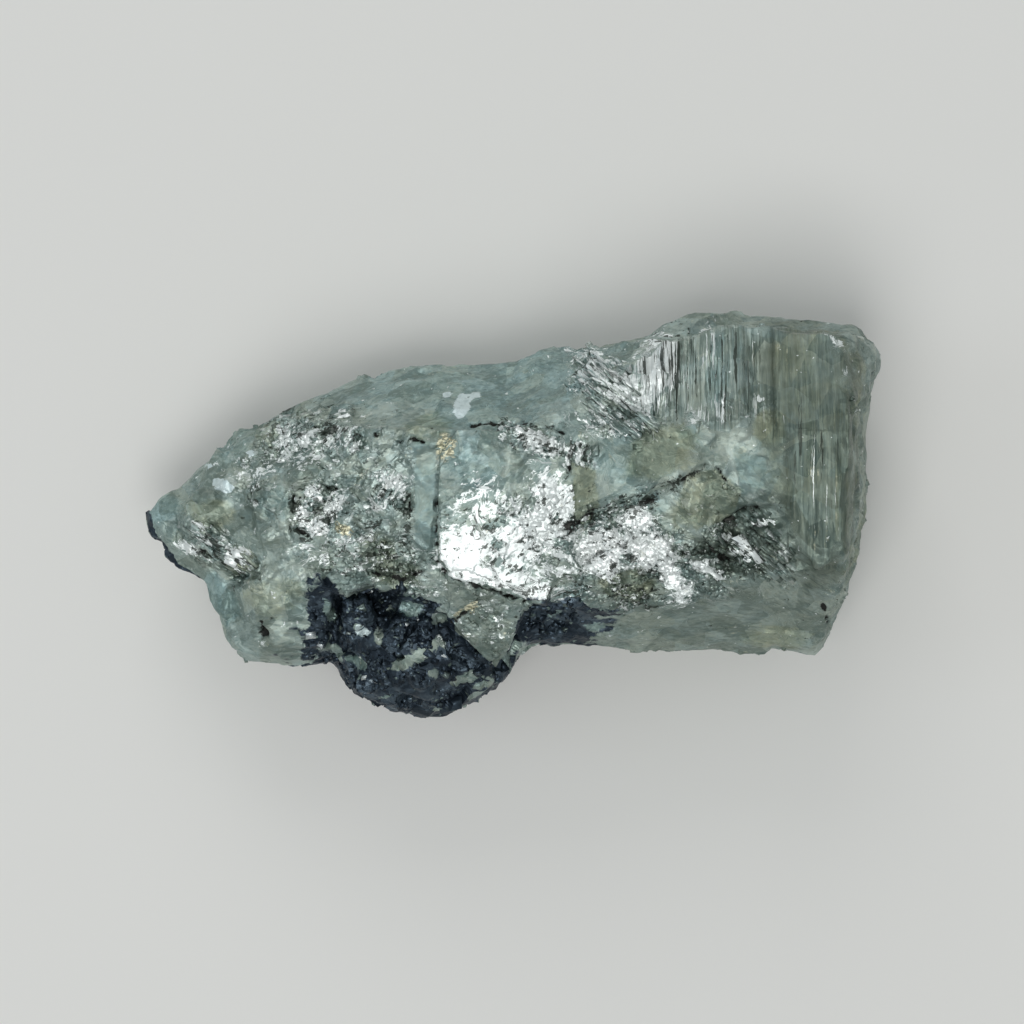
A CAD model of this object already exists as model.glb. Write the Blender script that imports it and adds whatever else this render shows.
"""A hand specimen of massive pyrite, lying on its flat break and seen from straight above.

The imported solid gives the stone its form. This script gives every face its break: sharp crystal blocks,
fine chips, cleavage steps, growth striations, dark sulphide grains and a few grains of quartz. The meshes
are worked out in millimetres, and MM turns them into metres. Materials, lights and camera are in metres.
The origin is the middle of the stone's base.
"""

import math

import bmesh
import bpy
import numpy as np
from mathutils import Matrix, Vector, noise
from mathutils.bvhtree import BVHTree


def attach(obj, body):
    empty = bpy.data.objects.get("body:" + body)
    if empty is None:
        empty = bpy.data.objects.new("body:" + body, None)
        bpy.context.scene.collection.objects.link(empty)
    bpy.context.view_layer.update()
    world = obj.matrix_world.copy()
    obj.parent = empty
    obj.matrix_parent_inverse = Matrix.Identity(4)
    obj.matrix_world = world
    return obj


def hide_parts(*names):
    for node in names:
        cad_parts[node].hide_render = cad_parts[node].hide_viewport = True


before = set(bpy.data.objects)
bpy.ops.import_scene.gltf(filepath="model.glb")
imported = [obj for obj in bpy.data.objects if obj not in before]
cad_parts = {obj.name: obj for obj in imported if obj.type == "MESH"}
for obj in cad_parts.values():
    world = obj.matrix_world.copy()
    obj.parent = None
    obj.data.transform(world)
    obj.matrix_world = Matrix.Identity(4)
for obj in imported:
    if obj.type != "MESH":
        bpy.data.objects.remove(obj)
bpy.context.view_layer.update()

# ------------------------
# The mass of the stone: one piece of massive pyrite, broken on every side. Where crystals grew tightly
# together it breaks in small bright steps, and elsewhere in smooth, slightly tarnished faces. Its form is
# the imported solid's with the sharp tops of its largest crystals, meshed again to hold the small chips.
# ------------------------
MM = 0.001
MASS_EDGE = 0.23  # the size of the mesh's faces before they are thinned out
MASS_TRIANGLES = 196000
BLOCK_DEPTH = 4.0  # how far down the added crystal tops reach into the stone

# The sharp upper corners of the largest crystals, (x, y, z)
CRYSTAL_TOPS = {
    "bright_cube": [
        (-6.0, 8.9, 26.5), (-7.9, 6.0, 26.4), (-8.0, 1.6, 26.5), (-8.0, -4.9, 25.4), (-6.4, -6.9, 25.0),
        (3.6, -9.7, 24.1), (6.3, -2.4, 26.1), (6.2, 3.6, 27.0), (5.9, 8.6, 26.9),
    ],
    "olive_block": [
        (6.9, 0.5, 26.6), (10.2, 1.3, 27.5), (14.6, 2.9, 28.2), (20.9, 5.4, 28.0), (20.2, 9.0, 28.3),
        (13.8, 10.2, 28.2), (7.2, 8.6, 27.2),
    ],
    "wedge_crystal": [
        (-5.8, -7.0, 24.2), (1.0, -9.7, 23.4), (-0.7, -14.5, 20.4), (-3.5, -15.2, 19.2),
        (-7.2, -11.2, 21.8),
    ],
}
# Crystal corners that broke off short: (x, y, radius, level of the break)
SHORT_CORNERS = [(-16.8, -3.9, 2.0, 21.8)]
BREAK_SLOPE = 0.3  # what is left of a corner's height above its break


def hull_of_tops(bm, corners):
    """Adds the convex hull of the corners and of their copies BLOCK_DEPTH lower."""
    verts = [bm.verts.new((x, y, z - drop)) for x, y, z in corners for drop in (0.0, BLOCK_DEPTH)]
    hull = bmesh.ops.convex_hull(bm, input=verts)
    inside = [v for v in hull["geom_interior"] if isinstance(v, bmesh.types.BMVert)]
    bmesh.ops.delete(bm, geom=inside, context="VERTS")


def evaluated_mesh(obj):
    """The mesh that an object's modifiers make."""
    graph = bpy.context.evaluated_depsgraph_get()
    return bpy.data.meshes.new_from_object(obj.evaluated_get(graph))


def numbers_of(parts, name, width=3):
    """The named numbers of a mesh's parts, one row for each part."""
    numbers = np.empty(len(parts) * width, np.float32)
    parts.foreach_get(name, numbers)
    return numbers.reshape(-1, width).astype(float)


def in_scene(name, data):
    """A new object in the scene."""
    obj = bpy.data.objects.new(name, data)
    bpy.context.scene.collection.objects.link(obj)
    return obj


def finely_meshed_stone():
    """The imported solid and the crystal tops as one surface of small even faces, in mm."""
    bm = bmesh.new()
    bm.from_mesh(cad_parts["pyrite"].data)
    bmesh.ops.remove_doubles(bm, verts=bm.verts, dist=1e-6)
    bmesh.ops.scale(bm, vec=(1 / MM, 1 / MM, 1 / MM), verts=bm.verts)
    for corners in CRYSTAL_TOPS.values():
        hull_of_tops(bm, corners)
    mesh = bpy.data.meshes.new("pyrite_mass")
    bm.to_mesh(mesh)
    bm.free()
    stone = in_scene("pyrite_mass", mesh)
    remesh = stone.modifiers.new("even_mesh", "REMESH")
    remesh.mode = "VOXEL"
    remesh.voxel_size = MASS_EDGE
    stone.data = evaluated_mesh(stone)
    stone.modifiers.clear()
    places = numbers_of(stone.data.vertices, "co")
    for x, y, radius, level in SHORT_CORNERS:
        tall = (np.hypot(places[:, 0] - x, places[:, 1] - y) < radius) & (places[:, 2] > level)
        places[tall, 2] = level + BREAK_SLOPE * (places[tall, 2] - level)
    stone.data.vertices.foreach_set("co", places.astype(np.float32).ravel())
    stone.data.update()
    return stone


# Patches of each kind of surface, as seen from above:
# (x, y, half length, half width, turn, strength), in mm and degrees. The break of a grainy patch runs
# along its turn.
GRAINY = [
    (-16.5, 2, 9, 7.6, 20, 0.42), (-23.2, 9, 5.6, 2.4, 15, 0.9), (-20.6, 0, 2.9, 3, 22, 1),
    (-17.2, 7.6, 1.6, 2, 60, 0.9), (-12.8, 2.1, 1.8, 2.6, 50, 0.9), (-31.6, -4.2, 5, 1.9, -32, 1),
    (-27.4, 3.2, 4, 4, -20, 0.35), (-15, -5.4, 6.5, 3, 10, 0.55), (1.8, 7.8, 3.8, 1.3, -20, 0.9),
    (3, -0.8, 5, 4, 42, 0.5), (7, 6.2, 1.6, 2, 70, 0.8), (13.4, -4.4, 9.5, 4, -6, 0.9),
    (19.4, -6.8, 3.6, 2.2, -30, 0.9), (12, -9, 5, 1.8, 5, 0.8), (24.4, -2.6, 6.4, 3.4, -42, 0.9),
    (11.2, 12.6, 5.2, 3.2, -40, 1), (23, 10.6, 4.2, 1.6, 10, 0.5), (10.4, 0, 4.8, 0.9, 24, 0.9),
    (-3, -8.2, 3, 0.8, -20, 0.4), (-14, -9.2, 7, 1.6, 0, 0.7),
]
DARK = [
    (-11.4, -15.8, 11.2, 6.8, 0, 1), (-20.2, -10.6, 2, 3.4, 20, 1), (-13, -9.6, 5, 1.8, 0, 1),
    (5.2, -12, 5.8, 2.6, 0, 1), (-39.5, -0.9, 1.8, 0.3, -74, 1), (-37.8, -4.1, 2.8, 0.33, -52, 1),
    (-35.1, -6.8, 1.8, 0.32, -36, 1), (-17.6, -10.4, 2.6, 1.5, 0, 1), (-2.4, -17.4, 2.4, 2.6, -30, 1),
]
IN_LUMP = [(-10, -17, 9, 4.6, 0, 0.5), (-18.6, -11.4, 2.6, 3, 0, 0.3)]
PYRITE_IN_DARK = [
    (-5.1, -18.1, 1.8, 0.6, 14, 1), (-3.6, -19, 1.6, 0.5, 38, 0.9), (-11.2, -15.9, 2.4, 0.7, 28, 0.95),
    (-19.8, -10.6, 0.6, 1.4, 24, 1), (-9.3, -8, 2.6, 1.7, -20, 1), (-16.9, -16.4, 1.3, 0.6, -32, 1),
    (-16.2, -12.8, 1, 0.5, -28, 1), (-13.6, -19.8, 1, 0.4, 20, 0.6), (-11.1, -10.5, 1.4, 0.6, -10, 0.8),
    (-14.4, -13.4, 0.5, 0.9, 0, 0.6), (-7.9, -14, 0.7, 1.1, 30, 0.65), (-18.9, -15.2, 0.5, 1.2, 35, 0.6),
    (-7.4, -10.8, 1.4, 1, 40, 1), (8.8, -12.4, 1.4, 0.6, 10, 0.7), (4.4, -11.2, 1, 0.4, 30, 0.6),
    (-13.2, -10.2, 0.9, 0.5, 20, 0.6), (-8.6, -17.2, 0.8, 0.5, 50, 0.5),
]
FILM = [
    (-19.8, -10.6, 1, 1.8, 24, 1), (-11.1, -10.5, 1.8, 1, -10, 1), (-16.9, -16.4, 1.8, 1, -32, 0.8),
    (-38, 0.5, 1.8, 1.6, 0, 1), (-31.6, -9.6, 1.5, 3.4, 22, 1), (-30, 8, 2.2, 3.6, -20, 0.7),
    (0, 14.2, 13, 3.4, 8, 0.8), (-12, 13.6, 7, 2.2, 12, 0.7), (11.4, 5.6, 2.6, 2.8, 0, 0.6),
    (-3, 11, 7, 2.6, 5, 0.7), (-4.6, 5.6, 3.2, 3, 0, 0.7), (14.8, 0.6, 2.6, 1.4, 20, 0.6),
    (18.9, 8.3, 1.6, 1, 0, 0.6), (-25.5, 0.9, 1.8, 2.2, 0, 0.7), (6.4, -9, 1.8, 1.6, 0, 0.8),
    (21.8, 14.6, 1.2, 4, 0, 0.7), (12.6, 1.9, 2, 1.2, 0, 0.6), (-14.2, -19, 2.8, 1.3, -28, 0.9),
    (7.4, -12, 2.4, 1.4, 0, 0.9), (-4.6, -16.4, 1.8, 1, 30, 0.7), (3.2, -11.4, 2.6, 1, 8, 0.8),
    (-7.6, -19.6, 2.4, 0.9, 10, 0.7), (-15.6, -11, 1.4, 0.8, 30, 0.7),
]
OLIVE = [
    (-32.5, 0, 2.4, 1.8, 0, 0.8), (16, 6.4, 3.6, 2.8, 12, 1), (-9.2, 9.2, 2.4, 1.8, 0, 0.7),
    (7.5, 1.4, 1.2, 3, 0, 1), (30, 5, 2.6, 5, 0, 0.4), (27.2, 9.2, 1.7, 1.7, 0, 1),
    (29, -13.6, 4, 1.2, 0, 0.8), (-29.5, -5, 1.4, 1.4, 0, 0.7), (12.4, -7.6, 3.6, 1.7, 0, 0.8),
    (-14.8, -4.4, 2, 1.8, 0, 0.8), (-26.4, 8.6, 1.8, 1, 20, 0.6), (19.4, 0.6, 2, 3.4, -50, 0.9),
    (-25.6, -9.2, 3.4, 2.2, 0, 0.6), (32, 14, 5, 7, 0, 0.4), (37, 4, 2.6, 14, 0, 0.4),
    (-12.8, -6.6, 3, 1.6, 0, 0.8),
]
DULL = [
    (31.4, 11, 6.4, 10, 0, 0.9), (37, 4, 3, 17, 0, 0.42), (24, -11.6, 15, 4.8, 6, 0.46),
    (-24.4, -13.8, 5.4, 2.6, 0, 0.35), (32.6, 2, 4.4, 12, 0, 1), (-14.6, -5.8, 6.5, 2.4, 0, 0.4),
    (12.2, -8.2, 5.4, 2.4, 0, 0.5), (24.6, -3, 5.6, 3.4, 20, 0.9), (28.4, 0.6, 2.4, 2.8, 0, 0.7),
    (16, 6.4, 4, 3, 12, 0.7), (7.5, 1.2, 1.4, 3.4, 0, 0.6), (22.6, 11.4, 5.6, 2.6, 0, 0.4),
    (-25.6, -9.2, 3.4, 2.2, 0, 0.3), (-29, 1, 5, 3, 0, 0.3), (-29.6, -9.6, 3.4, 3.6, 0, 0.2),
    (-26, 3.6, 5, 3.4, 0, 0.25),
]
BRIGHT = [
    (-5.3, -4.3, 3.6, 3.3, 0, 1.06), (-2.6, -7, 4.6, 1.8, -20, 1.05), (2, -8.2, 3.4, 1.8, -20, 0.92),
    (1.6, -2.4, 5.2, 3.8, 48, 1), (4.2, 2.2, 2.8, 3.6, 48, 0.98), (6.6, 6, 1.5, 2.2, 0, 0.8),
    (-3.4, 0.6, 3.6, 3, 20, 0.62), (9.6, -4, 3.8, 2.7, 0, 1.3), (13.5, -0.9, 3.2, 1.4, -8, 1.1),
    (14.4, -4, 3.2, 2.2, 0, 1.25), (17.3, -7.2, 2.8, 1.5, -55, 1.1), (20.4, -5.9, 2.8, 0.6, -24, 1),
    (25.2, -4.3, 1.9, 0.4, 0, 0.95), (26.6, -1.2, 1.8, 0.4, 5, 0.9), (5.8, -5.8, 2.4, 2.4, 0, 0.85),
    (6.6, -9.4, 2.2, 1.6, 0, 0.6), (-22.7, 0.1, 0.7, 0.7, 0, 1.2), (-21.5, 2.1, 1.2, 0.9, 0, 1),
    (-19.1, 0.6, 1.7, 0.8, 30, 1.05), (-21.4, -1.7, 2.2, 0.7, -22, 1.1), (-18.4, -2.9, 1.3, 1, 0, 0.9),
    (-20.6, 0.4, 3.4, 3.4, 22, 0.58), (-17.2, 7.1, 1.6, 1.1, 0, 0.9), (-22.2, 8, 1, 0.9, 0, 1),
    (-24.5, 8.7, 1, 0.8, 0, 0.95), (-21, 7.6, 5.4, 2.8, 8, 0.64), (-18.3, 10.5, 1, 0.6, 0, 0.8),
    (-12.8, 3.6, 2.2, 1.4, -20, 0.8), (-14.4, 0.9, 1.1, 1.1, 0, 0.9), (-16.1, -2.8, 1.2, 0.6, 30, 0.8),
    (-13, 1.4, 2.4, 3.2, 30, 0.45), (-9.2, -8.2, 2.2, 1.2, -20, 0.4), (-35.2, -3.8, 1.6, 0.8, -10, 1),
    (-30.2, -4.4, 2.4, 1, -42, 1.05), (-32.6, -2.9, 2.2, 0.8, -40, 0.75), (-28.4, 4.4, 3, 3, 0, 0.5),
    (-14.6, -4.4, 6, 3.4, 0, 0.4), (-21, -4.4, 3.4, 2, 0, 0.5), (2, 7.8, 3.4, 1.3, -20, 0.85),
    (10.8, 13.6, 6.2, 2.8, -40, 0.86), (9.6, 9.4, 3.6, 1.6, -10, 0.62), (15.6, 15.8, 2.5, 4.2, 0, 1.04),
    (21.2, 17, 1.6, 3.4, 0, 0.56), (23.4, 16.8, 0.7, 3.2, 0, 0.7), (34.2, 18.6, 1.7, 0.34, -42, 0.9),
    (35.6, 15.2, 0.26, 0.8, 0, 0.85), (26.5, 12.2, 0.34, 0.34, 0, 0.9), (21, 10.8, 3.6, 1.6, 10, 0.62),
    (33.4, 9.9, 0.3, 0.3, 0, 1), (32.6, 5.6, 2.4, 4.6, 0, 0.12), (24, -2.6, 4, 2.2, -40, 0.35),
    (-3.6, -11, 2.4, 1.2, 30, 0.45), (-9.6, -14, 8, 4, 0, 0.3), (13, -9.4, 4, 1.2, 0, 0.45),
]
# Where dark specks lie thick between the grains
SPECKED = [
    (-19.8, 9, 1.2, 0.9, 20, 1.3), (-21, 8.4, 5.6, 2.8, 12, 0.7), (-20.6, 0.2, 3.6, 3.6, 22, 0.75),
    (-23.5, 0.9, 0.6, 1.4, 0, 1.3), (-22.8, -2.4, 1.4, 0.6, -30, 1.3), (-19.8, -0.4, 1.1, 0.5, 10, 1.3),
    (-19.8, 2.6, 1, 0.5, 0, 1.3), (-15.1, -1.3, 1.4, 0.8, 20, 1.2), (-11.4, -0.6, 0.5, 2.2, 0, 1.3),
    (-12.8, 2, 2.2, 3.4, 50, 0.8), (-33.2, -4.4, 1.4, 0.9, 0, 1.1), (-31.6, -4.6, 5, 2.2, -32, 0.75),
    (-15.4, -4.6, 6.2, 3.2, 0, 0.75), (-12.4, -6.8, 3.2, 1.4, 0, 1), (-27.4, 2.4, 1.4, 1.2, 0, 0.8),
    (24.4, -3, 5.6, 3.8, 20, 0.8), (7.4, -1.2, 2.2, 1.4, 20, 1), (13.2, 1, 3.6, 1.4, 22, 0.95),
    (17.4, 3, 2.6, 0.9, 26, 1), (2.2, 7.6, 3.6, 1.4, -20, 0.8), (0.6, 9.2, 5, 0.7, 0, 0.9),
    (11, 11.4, 5.4, 2.2, -36, 0.85), (8.6, 15.4, 2.6, 1.6, -40, 0.8), (13, -9, 5.6, 1.8, 0, 0.8),
    (12.4, -3.2, 6.4, 3.6, 0, 0.85), (14.6, -6.4, 1.6, 0.8, 0, 1.1), (18.4, -4.6, 1, 0.7, 0, 1.1),
    (2.4, -1.6, 5.8, 4.6, 45, 0.8), (0.4, -7.6, 4.6, 1.8, -20, 0.95), (5.6, -8.4, 2.6, 2.4, 0, 1),
    (7, 5.4, 1.8, 3.4, 0, 0.7), (-3.4, -3.4, 4.4, 4.2, 0, 0.85), (-4.6, -10.8, 2.2, 1.2, 30, 0.7),
    (31.6, -7.6, 4.6, 3, -38, 0.35), (16.6, 16, 3.6, 4.8, 0, 0.9), (22.6, 15.4, 3.6, 5, 0, 0.6),
    (32.4, 6.4, 2.6, 4.2, 0, 0.6),
]
GOLDEN = [(-7.3, 6.8, 1.1, 1.6, 0, 0.8), (-18.2, -1.9, 1.2, 0.8, -30, 0.9), (-5.2, -10.6, 1.4, 0.45, 30, 1)]
# Pale grains of quartz
QUARTZ = [
    (-31.5, 2.9, 1.3, 0.75, -25, 1), (-5.5, 11.5, 0.9, 1.4, 0, 1), (-4.2, 12.6, 0.5, 0.4, 0, 0.7),
    (-16.2, -12.8, 1, 0.5, -28, 1), (-28.4, 6.4, 0.5, 0.4, 0, 0.8), (-7.2, 12.6, 0.4, 0.3, 0, 0.9),
    (-33, 5, 0.4, 0.3, 0, 0.7),
]
# How strongly the growth striations show
STRIATED = [
    (16.8, 16.2, 3.8, 5.6, 0, 1), (22.8, 15.6, 4.4, 6, 0, 0.55), (30, 14, 5.6, 6.6, 0, 0.14),
    (32.6, 5, 3.4, 10, 0, 0.13),
]
STRIATED_LEVEL = 20.0  # the striations stop at this level
# Where the break is drawn out into long slivers along its turn
STREAKY = [
    (11.2, 12.8, 6.2, 3.6, -40, 0.9), (-31.6, -4.2, 5.4, 2.2, -36, 0.5), (25.4, -2.6, 6, 3.6, -42, 0.3),
    (31, -7.4, 6, 4.6, -38, 0.6), (22, -11.8, 8, 2.6, 4, 0.4), (-25, -13.6, 4.6, 2.6, 5, 0.35),
]
# Flat faces that have their own look in place of the patches that cross them: (x, y) corners and shares.
# The first is the wedge-shaped crystal.
FLAT_FACES = [
    ([(-7.6, -7.4), (-3.0, -7.7), (1.0, -9.3), (0.0, -13.4), (-1.8, -16.8), (-3.0, -15.9), (-6.2, -12.9)],
     {"grainy": 0.3, "dark": 0.0, "bright": 0.2, "dull": 0.4}),
    ([(23.5, 6.5), (27.2, 5.9), (27.0, 2.8), (24.5, 1.4)],
     {"grainy": 0.04, "film": 0.8, "bright": 0.0, "dull": 0.6, "olive": 0.0, "specked": 0.0, "calm": 0.6}),
    ([(18.2, 3.2), (21.6, 4.7), (24.6, 2.4), (23.4, -0.8), (19.6, -2.0), (18.0, 0.6)],
     {"grainy": 0.2, "olive": 0.8, "bright": 0.05, "dull": 0.35}),
    ([(-10.7, 7.6), (-8.2, 7.8), (-8.2, -4.0), (-10.5, -4.0)],
     {"grainy": 0.0, "bright": 0.0, "film": 0.6, "dull": 0.08, "specked": 0.0, "calm": 1.0}),
    ([(6.2, 5.4), (8.8, 4.4), (9.3, 0.2), (6.7, -0.8)],
     {"grainy": 0.1, "bright": 0.0, "film": 0.0, "olive": 1.0, "dull": 0.55, "specked": 0.3, "calm": 0.5}),
]
# Cracks and crevices: (x, y) points, half width, depth
CRACKS = [
    ([(6.3, -1.9), (7.8, -1.3), (9.2, -0.2), (10.8, 0.2), (12.2, 0.9), (14.4, 1.6), (15.6, 2.4),
      (18.4, 3.4), (20.6, 4.7)], 0.42, 0.6), ([(6.2, -1.6), (7.4, -1.5), (8.6, -0.5)], 0.95, 0.5),
    ([(12.4, 0.8), (14.0, 1.2), (15.4, 1.6)], 0.75, 0.5), ([(15.8, 2.6), (18.0, 3.2)], 0.55, 0.4),
    ([(-4.4, 9.3), (-2.6, 9.7), (-0.6, 9.3), (1.0, 9.7), (2.6, 9.0), (4.2, 9.2), (5.4, 8.4)], 0.17, 0.35),
    ([(-8.2, 0.9), (-8.3, -2.4), (-8.2, -5.0), (-6.6, -7.3), (-2.4, -8.6), (3.4, -10.2)], 0.26, 0.6),
    ([(-12.4, 7.4), (-10.6, 7.9), (-9.7, 7.5)], 0.13, 0.3), ([(6.3, 6.4), (6.0, 4.0)], 0.2, 0.3),
    ([(21.4, 5.2), (22.6, 3.6), (24.4, 1.4)], 0.14, 0.2),
    ([(-21.4, 8.6), (-19.8, 9.1), (-18.8, 9.0)], 0.18, 0.3),
    ([(-23.6, 1.8), (-23.5, 0.2)], 0.17, 0.3), ([(-23.2, -1.8), (-22.2, -2.6)], 0.2, 0.4),
    ([(-20.6, -0.2), (-19.0, -0.4)], 0.16, 0.3), ([(-20.2, 2.6), (-19.2, 2.4)], 0.16, 0.3),
    ([(-15.8, -1.0), (-14.6, -1.6)], 0.2, 0.3), ([(33.4, -10.2), (34.6, -12.4)], 0.2, 0.3),
    ([(-11.2, 2.0), (-11.1, 0.2)], 0.2, 0.4), ([(22.8, -1.2), (25.0, 0.4), (26.8, 0.2)], 0.3, 0.4),
    ([(20.4, -3.6), (23.0, -5.2), (26.4, -4.4)], 0.3, 0.4), ([(-6.7, -12.0), (-4.1, -10.4)], 0.26, 0.4),
    ([(-9.4, -6.2), (-12.0, -7.4), (-15.0, -6.6)], 0.18, 0.4), ([(14.2, -6.6), (15.4, -6.2)], 0.4, 0.4),
    ([(18.0, -4.8), (18.8, -4.4)], 0.4, 0.4), ([(-33.8, -4.2), (-32.6, -4.8)], 0.3, 0.4),
]
# Small dark pits: (x, y) and radius
PITS = [
    (-18.5, 13.1, 0.5), (-27.6, -13.4, 1.1), (38, 14.3, 0.7), (-21.8, 9.4, 0.5), (33.9, -11.4, 0.45),
    (-27.2, -12.2, 0.4), (-25.2, 10.6, 0.3), (-14.6, 8.4, 0.3), (15.6, -11.8, 0.3),
]
UPPER_LEVEL, TOP_LEVEL = 7.0, 9.0  # the patches end at the first level, the cracks at the second
RAGGED_EDGE = 0.35  # how far a patch's edge strays, as a share of its size
FACE_EDGE = 0.25  # the width that a flat face blends in over
FAR = 9.0  # too far from a crack to matter


def reach_of(places, patch):
    """How far each place lies from a patch's middle, where 1 is the patch's edge."""
    x, y, half_length, half_width, turn, _ = patch
    c, s = math.cos(math.radians(turn)), math.sin(math.radians(turn))
    dx, dy = places[:, 0] - x, places[:, 1] - y
    return np.hypot((dx * c + dy * s) / half_length, (dy * c - dx * s) / half_width)


def patch_share(places, patches, wobble, edge=0.5):
    """For each place, the patch's strength well inside it and 0 outside, with a ragged edge."""
    share = np.zeros(len(places))
    for patch in patches:
        inside = np.clip((1.0 + RAGGED_EDGE * wobble - reach_of(places, patch)) / edge + 0.5, 0.0, 1.0)
        share = np.maximum(share, patch[5] * inside)
    return share


def wobble_at(places, scale):
    """Smooth noise from -1 to 1 at each place, with features about scale across."""
    return np.array([noise.noise(Vector(place) / scale) for place in places])


def facing_up(normals, low, high):
    """0 where the surface is steeper than low, 1 where it faces further up than high."""
    return np.clip((normals[:, 2] - low) / (high - low), 0.0, 1.0)


def crack_share(places, normals):
    """How deep each place lies in a crack, in mm, and how dark it is there, from 0 to 1."""
    depth, dark = np.zeros(len(places)), np.zeros(len(places))
    stray = 0.30 * wobble_at(places, 0.9)
    open_share = np.clip(0.85 + 1.1 * wobble_at(places + 40.0, 1.6), 0.0, 1.0)
    for route, half_width, full_depth in CRACKS:
        route = np.array(route)
        near = np.full(len(places), FAR)
        for start, end in zip(route, route[1:]):
            along = np.clip((places[:, :2] - start) @ (end - start) / ((end - start) @ (end - start)), 0, 1)
            beside = places[:, :2] - start - along[:, None] * (end - start)
            near = np.minimum(near, np.linalg.norm(beside, axis=1))
        inside = np.exp(-(np.maximum(near + stray, 0.0) / half_width) ** 2) * open_share
        depth, dark = np.maximum(depth, full_depth * inside), np.maximum(dark, inside)
    on_top = facing_up(normals, 0.15, 0.45)
    depth, dark = depth * on_top, dark * on_top
    for x, y, radius in PITS:
        beside = np.hypot(places[:, 0] - x, places[:, 1] - y)
        rim = places[beside < radius + 0.4, 2].max()
        near = np.hypot(beside, 0.7 * (places[:, 2] - rim + 0.3 * radius)) + stray
        inside = np.exp(-(np.maximum(near, 0.0) / radius) ** 4)
        depth, dark = np.maximum(depth, 0.9 * radius * inside), np.maximum(dark, inside)
    upper = places[:, 2] > TOP_LEVEL
    return depth * upper, dark * upper


def face_share(places, corners, wobble):
    """1 well inside a flat face as seen from above, 0 outside it."""
    corners = np.array(corners)
    edges = np.roll(corners, -1, axis=0) - corners
    area = (corners[:, 0] * np.roll(corners[:, 1], -1) - np.roll(corners[:, 0], -1) * corners[:, 1]).sum()
    inward = np.stack([-edges[:, 1], edges[:, 0]], axis=1) * np.sign(area)
    inward /= np.linalg.norm(inward, axis=1, keepdims=True)
    depth = ((places[:, None, :2] - corners[None]) * inward[None]).sum(axis=2).min(axis=1)
    return np.clip(depth / FACE_EDGE + 0.5 + 0.6 * wobble, 0.0, 1.0)


def zones(places, normals):
    """What the surface is like at each place: the shares that the materials read, by name."""
    wobble = wobble_at(places, 2.4) + 0.5 * wobble_at(places, 0.9)
    upper = places[:, 2] > UPPER_LEVEL
    on_top = upper * facing_up(normals, 0.05, 0.35)
    below = np.clip(0.30 + 1.0 * wobble_at(places, 7.0), 0.0, 0.6)
    grown_in = patch_share(places, PYRITE_IN_DARK, 0.7 * wobble + 0.8 * wobble_at(places, 0.45), 0.6)
    shares = {
        "grainy": np.maximum(patch_share(places, GRAINY, wobble, 0.9) * on_top, below * (1.0 - on_top)),
        "dark": patch_share(places, DARK, wobble) * (1.0 - grown_in * facing_up(normals, 0.0, 0.4)),
        "film": patch_share(places, FILM, wobble) * upper,
        "olive": patch_share(places, OLIVE, wobble) * upper,
        "dull": np.maximum(patch_share(places, DULL, wobble), patch_share(places, IN_LUMP, wobble)) * upper,
        "bright": patch_share(places, BRIGHT, wobble, 0.9) * on_top,
        "golden": patch_share(places, GOLDEN, wobble) * on_top,
        "specked": patch_share(places, SPECKED, wobble, 0.9) * on_top,
        "quartz": patch_share(places, QUARTZ, 0.8 * wobble, 0.15) * on_top,
        "calm": np.zeros(len(places)),
        "striated": patch_share(places, STRIATED, 0.6 * wobble, 0.5) * (places[:, 2] > STRIATED_LEVEL),
    }
    for corners, finish in FLAT_FACES:
        inside = face_share(places, corners, 0.3 * wobble) * upper
        for name, strength in finish.items():
            shares[name] = shares[name] * (1.0 - inside) + strength * inside
    return shares


def streak_share(places):
    """How far the break is drawn out into slivers at each place, from 0 to 1."""
    share = patch_share(places, STREAKY, 0.6 * wobble_at(places, 1.6), 0.3)
    return share * (places[:, 2] > UPPER_LEVEL)


# How the break is squeezed along, across and down
PLAIN_SQUEEZE, GRAINY_SQUEEZE = (0.8, 1.0, 1.0), (0.66, 1.12, 1.0)
SLIVER_SQUEEZE, LONG_SQUEEZE = (0.42, 1.35, 0.9), (0.26, 1.7, 0.8)
STRIA_SQUEEZE = (2.0, 0.09, 0.09)
SLIVER_FROM, LONG_FROM, STRIA_FROM = 0.25, 0.55, 0.05  # the shares that these begin at


def grain_frame(places, striated):
    """The turn of the break at each place, in radians, and how it is squeezed along, across and down."""
    turn, strongest = np.zeros(len(places)), np.zeros(len(places))
    ragged = 0.3 * wobble_at(places, 1.6)
    upper = places[:, 2] > UPPER_LEVEL
    for patch in GRAINY + STREAKY:
        strength = patch[5] * np.clip(1.6 + ragged - reach_of(places, patch), 0.0, 1.0) * upper
        turn = np.where(strength > strongest, math.radians(patch[4]), turn)
        strongest = np.maximum(strongest, strength)
    squeeze = np.where(strongest[:, None] > 0, GRAINY_SQUEEZE, PLAIN_SQUEEZE)
    streaks = streak_share(places)
    squeeze[streaks > SLIVER_FROM] = SLIVER_SQUEEZE
    squeeze[streaks > LONG_FROM] = LONG_SQUEEZE
    on_stria = striated > STRIA_FROM
    turn[on_stria] = 0.0
    squeeze[on_stria] = STRIA_SQUEEZE
    return turn, squeeze


def turned(vectors, turn):
    """The vectors turned about Z, each by its own angle."""
    c, s = np.cos(turn), np.sin(turn)
    x, y, z = vectors.T
    return np.stack([x * c - y * s, x * s + y * c, z], axis=1)


UNLIKE = 91.7  # spreads the chips' middles apart, so that neighbours get unlike numbers


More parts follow.
